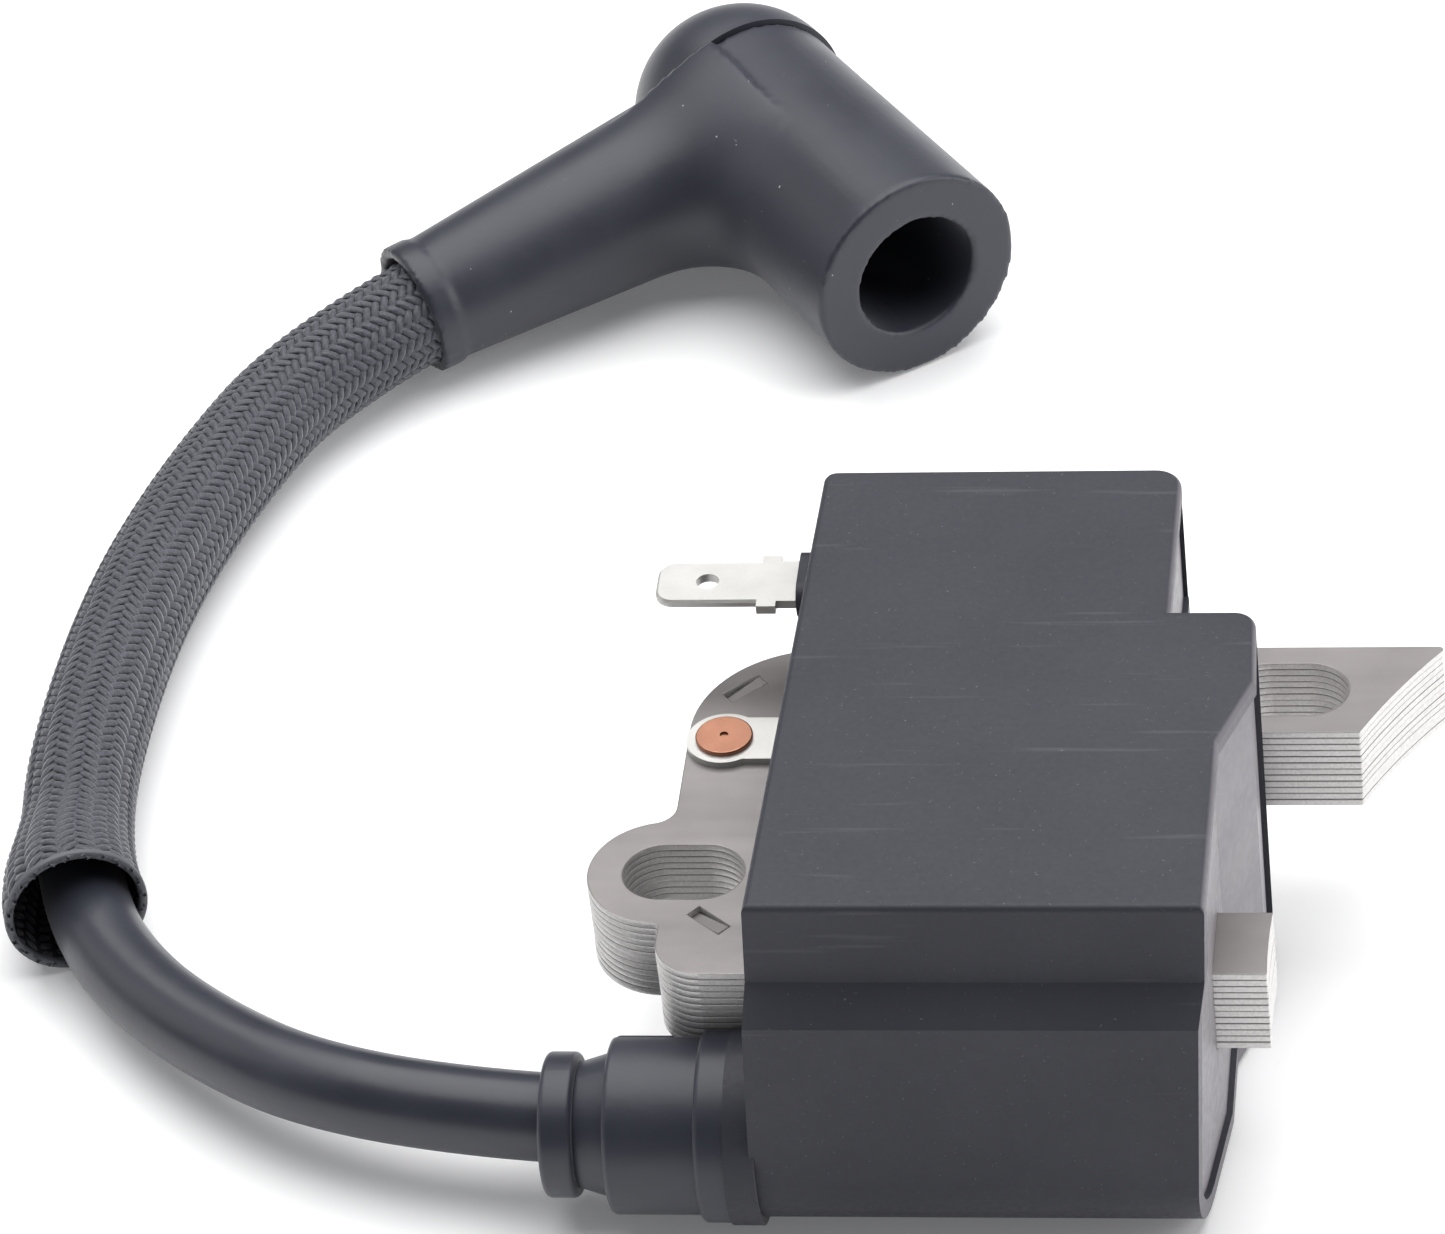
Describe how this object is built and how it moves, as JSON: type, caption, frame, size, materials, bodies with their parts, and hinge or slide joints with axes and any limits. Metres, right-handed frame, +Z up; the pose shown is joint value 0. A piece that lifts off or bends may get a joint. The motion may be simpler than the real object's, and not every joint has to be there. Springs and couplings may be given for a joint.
{
  "type": "ignition coil",
  "caption": "Ignition coil for a small petrol engine: U-shaped laminated core through a potted plastic housing, spade tab, and a high-tension lead in a braided sleeve with an elbow plug boot.",
  "frame": {"origin": "on the surface the coil lies on, below the middle of the box of core, housing and spade tab", "axes": "+X from the yoke towards the flywheel, +Y from the lead side of the housing towards the far leg of the core, +Z up through the laminations to the housing's top"},
  "size_m": [0.1209, 0.1539, 0.0346],
  "materials": {
    "electrical_steel": "stamped, lightly lacquered",
    "housing_plastic": "fine matt, moulded",
    "potting_resin": "cast, flat",
    "copper": "headed",
    "tinned_steel": "tinned",
    "rubber_black": "smooth, satin",
    "lead_jacket": "smooth, satin",
    "braid": "woven, herringbone",
    "spring_steel": "drawn",
    "brass": "turned",
    "bobbin_plastic": "moulded",
    "enamelled_copper": "enamelled",
    "board": "solder mask",
    "component_plastic": "moulded",
    "capacitor_dip": "dipped",
    "resistor_body": "lacquered",
    "wire_red": "satin",
    "wire_black": "satin"
  },
  "bodies": {
    "coil": {"lamination_01": "electrical_steel", "lamination_02": "electrical_steel", "lamination_03": "electrical_steel", "lamination_04": "electrical_steel", "lamination_05": "electrical_steel", "lamination_06": "electrical_steel", "lamination_07": "electrical_steel", "lamination_08": "electrical_steel", "lamination_09": "electrical_steel", "lamination_10": "electrical_steel", "lamination_11": "electrical_steel", "lamination_12": "electrical_steel", "housing_shell": "housing_plastic", "potting_compound": "potting_resin", "ground_rivet": "copper", "ground_strap": "tinned_steel", "kill_tab": "tinned_steel", "lead_grommet": "rubber_black", "ht_lead": "lead_jacket", "braided_sleeve": "braid", "terminal_spike": "brass", "ht_contact_pin": "brass", "primary_bobbin": "bobbin_plastic", "secondary_bobbin": "bobbin_plastic", "primary_winding": "enamelled_copper", "secondary_winding": "enamelled_copper", "circuit_board": "board", "power_transistor": "component_plastic", "control_transistor": "component_plastic", "filter_capacitor": "capacitor_dip", "protection_diode": "component_plastic", "resistors": "resistor_body", "primary_lead_wire": "wire_red", "ground_lead_wire": "wire_black", "kill_lead_wire": "wire_black"},
    "boot": {"plug_boot": "rubber_black", "boot_cap": "rubber_black", "terminal_spring": "spring_steel"}
  },
  "joints": [
    {"name": "boot_turn", "type": "hinge", "parent": "coil", "child": "boot", "pos_m": [-0.03159, 0.11133, 0.01018], "axis": [0.8126, 0.5742, 0.0999], "range_deg": [-90, 90]}
  ]
}
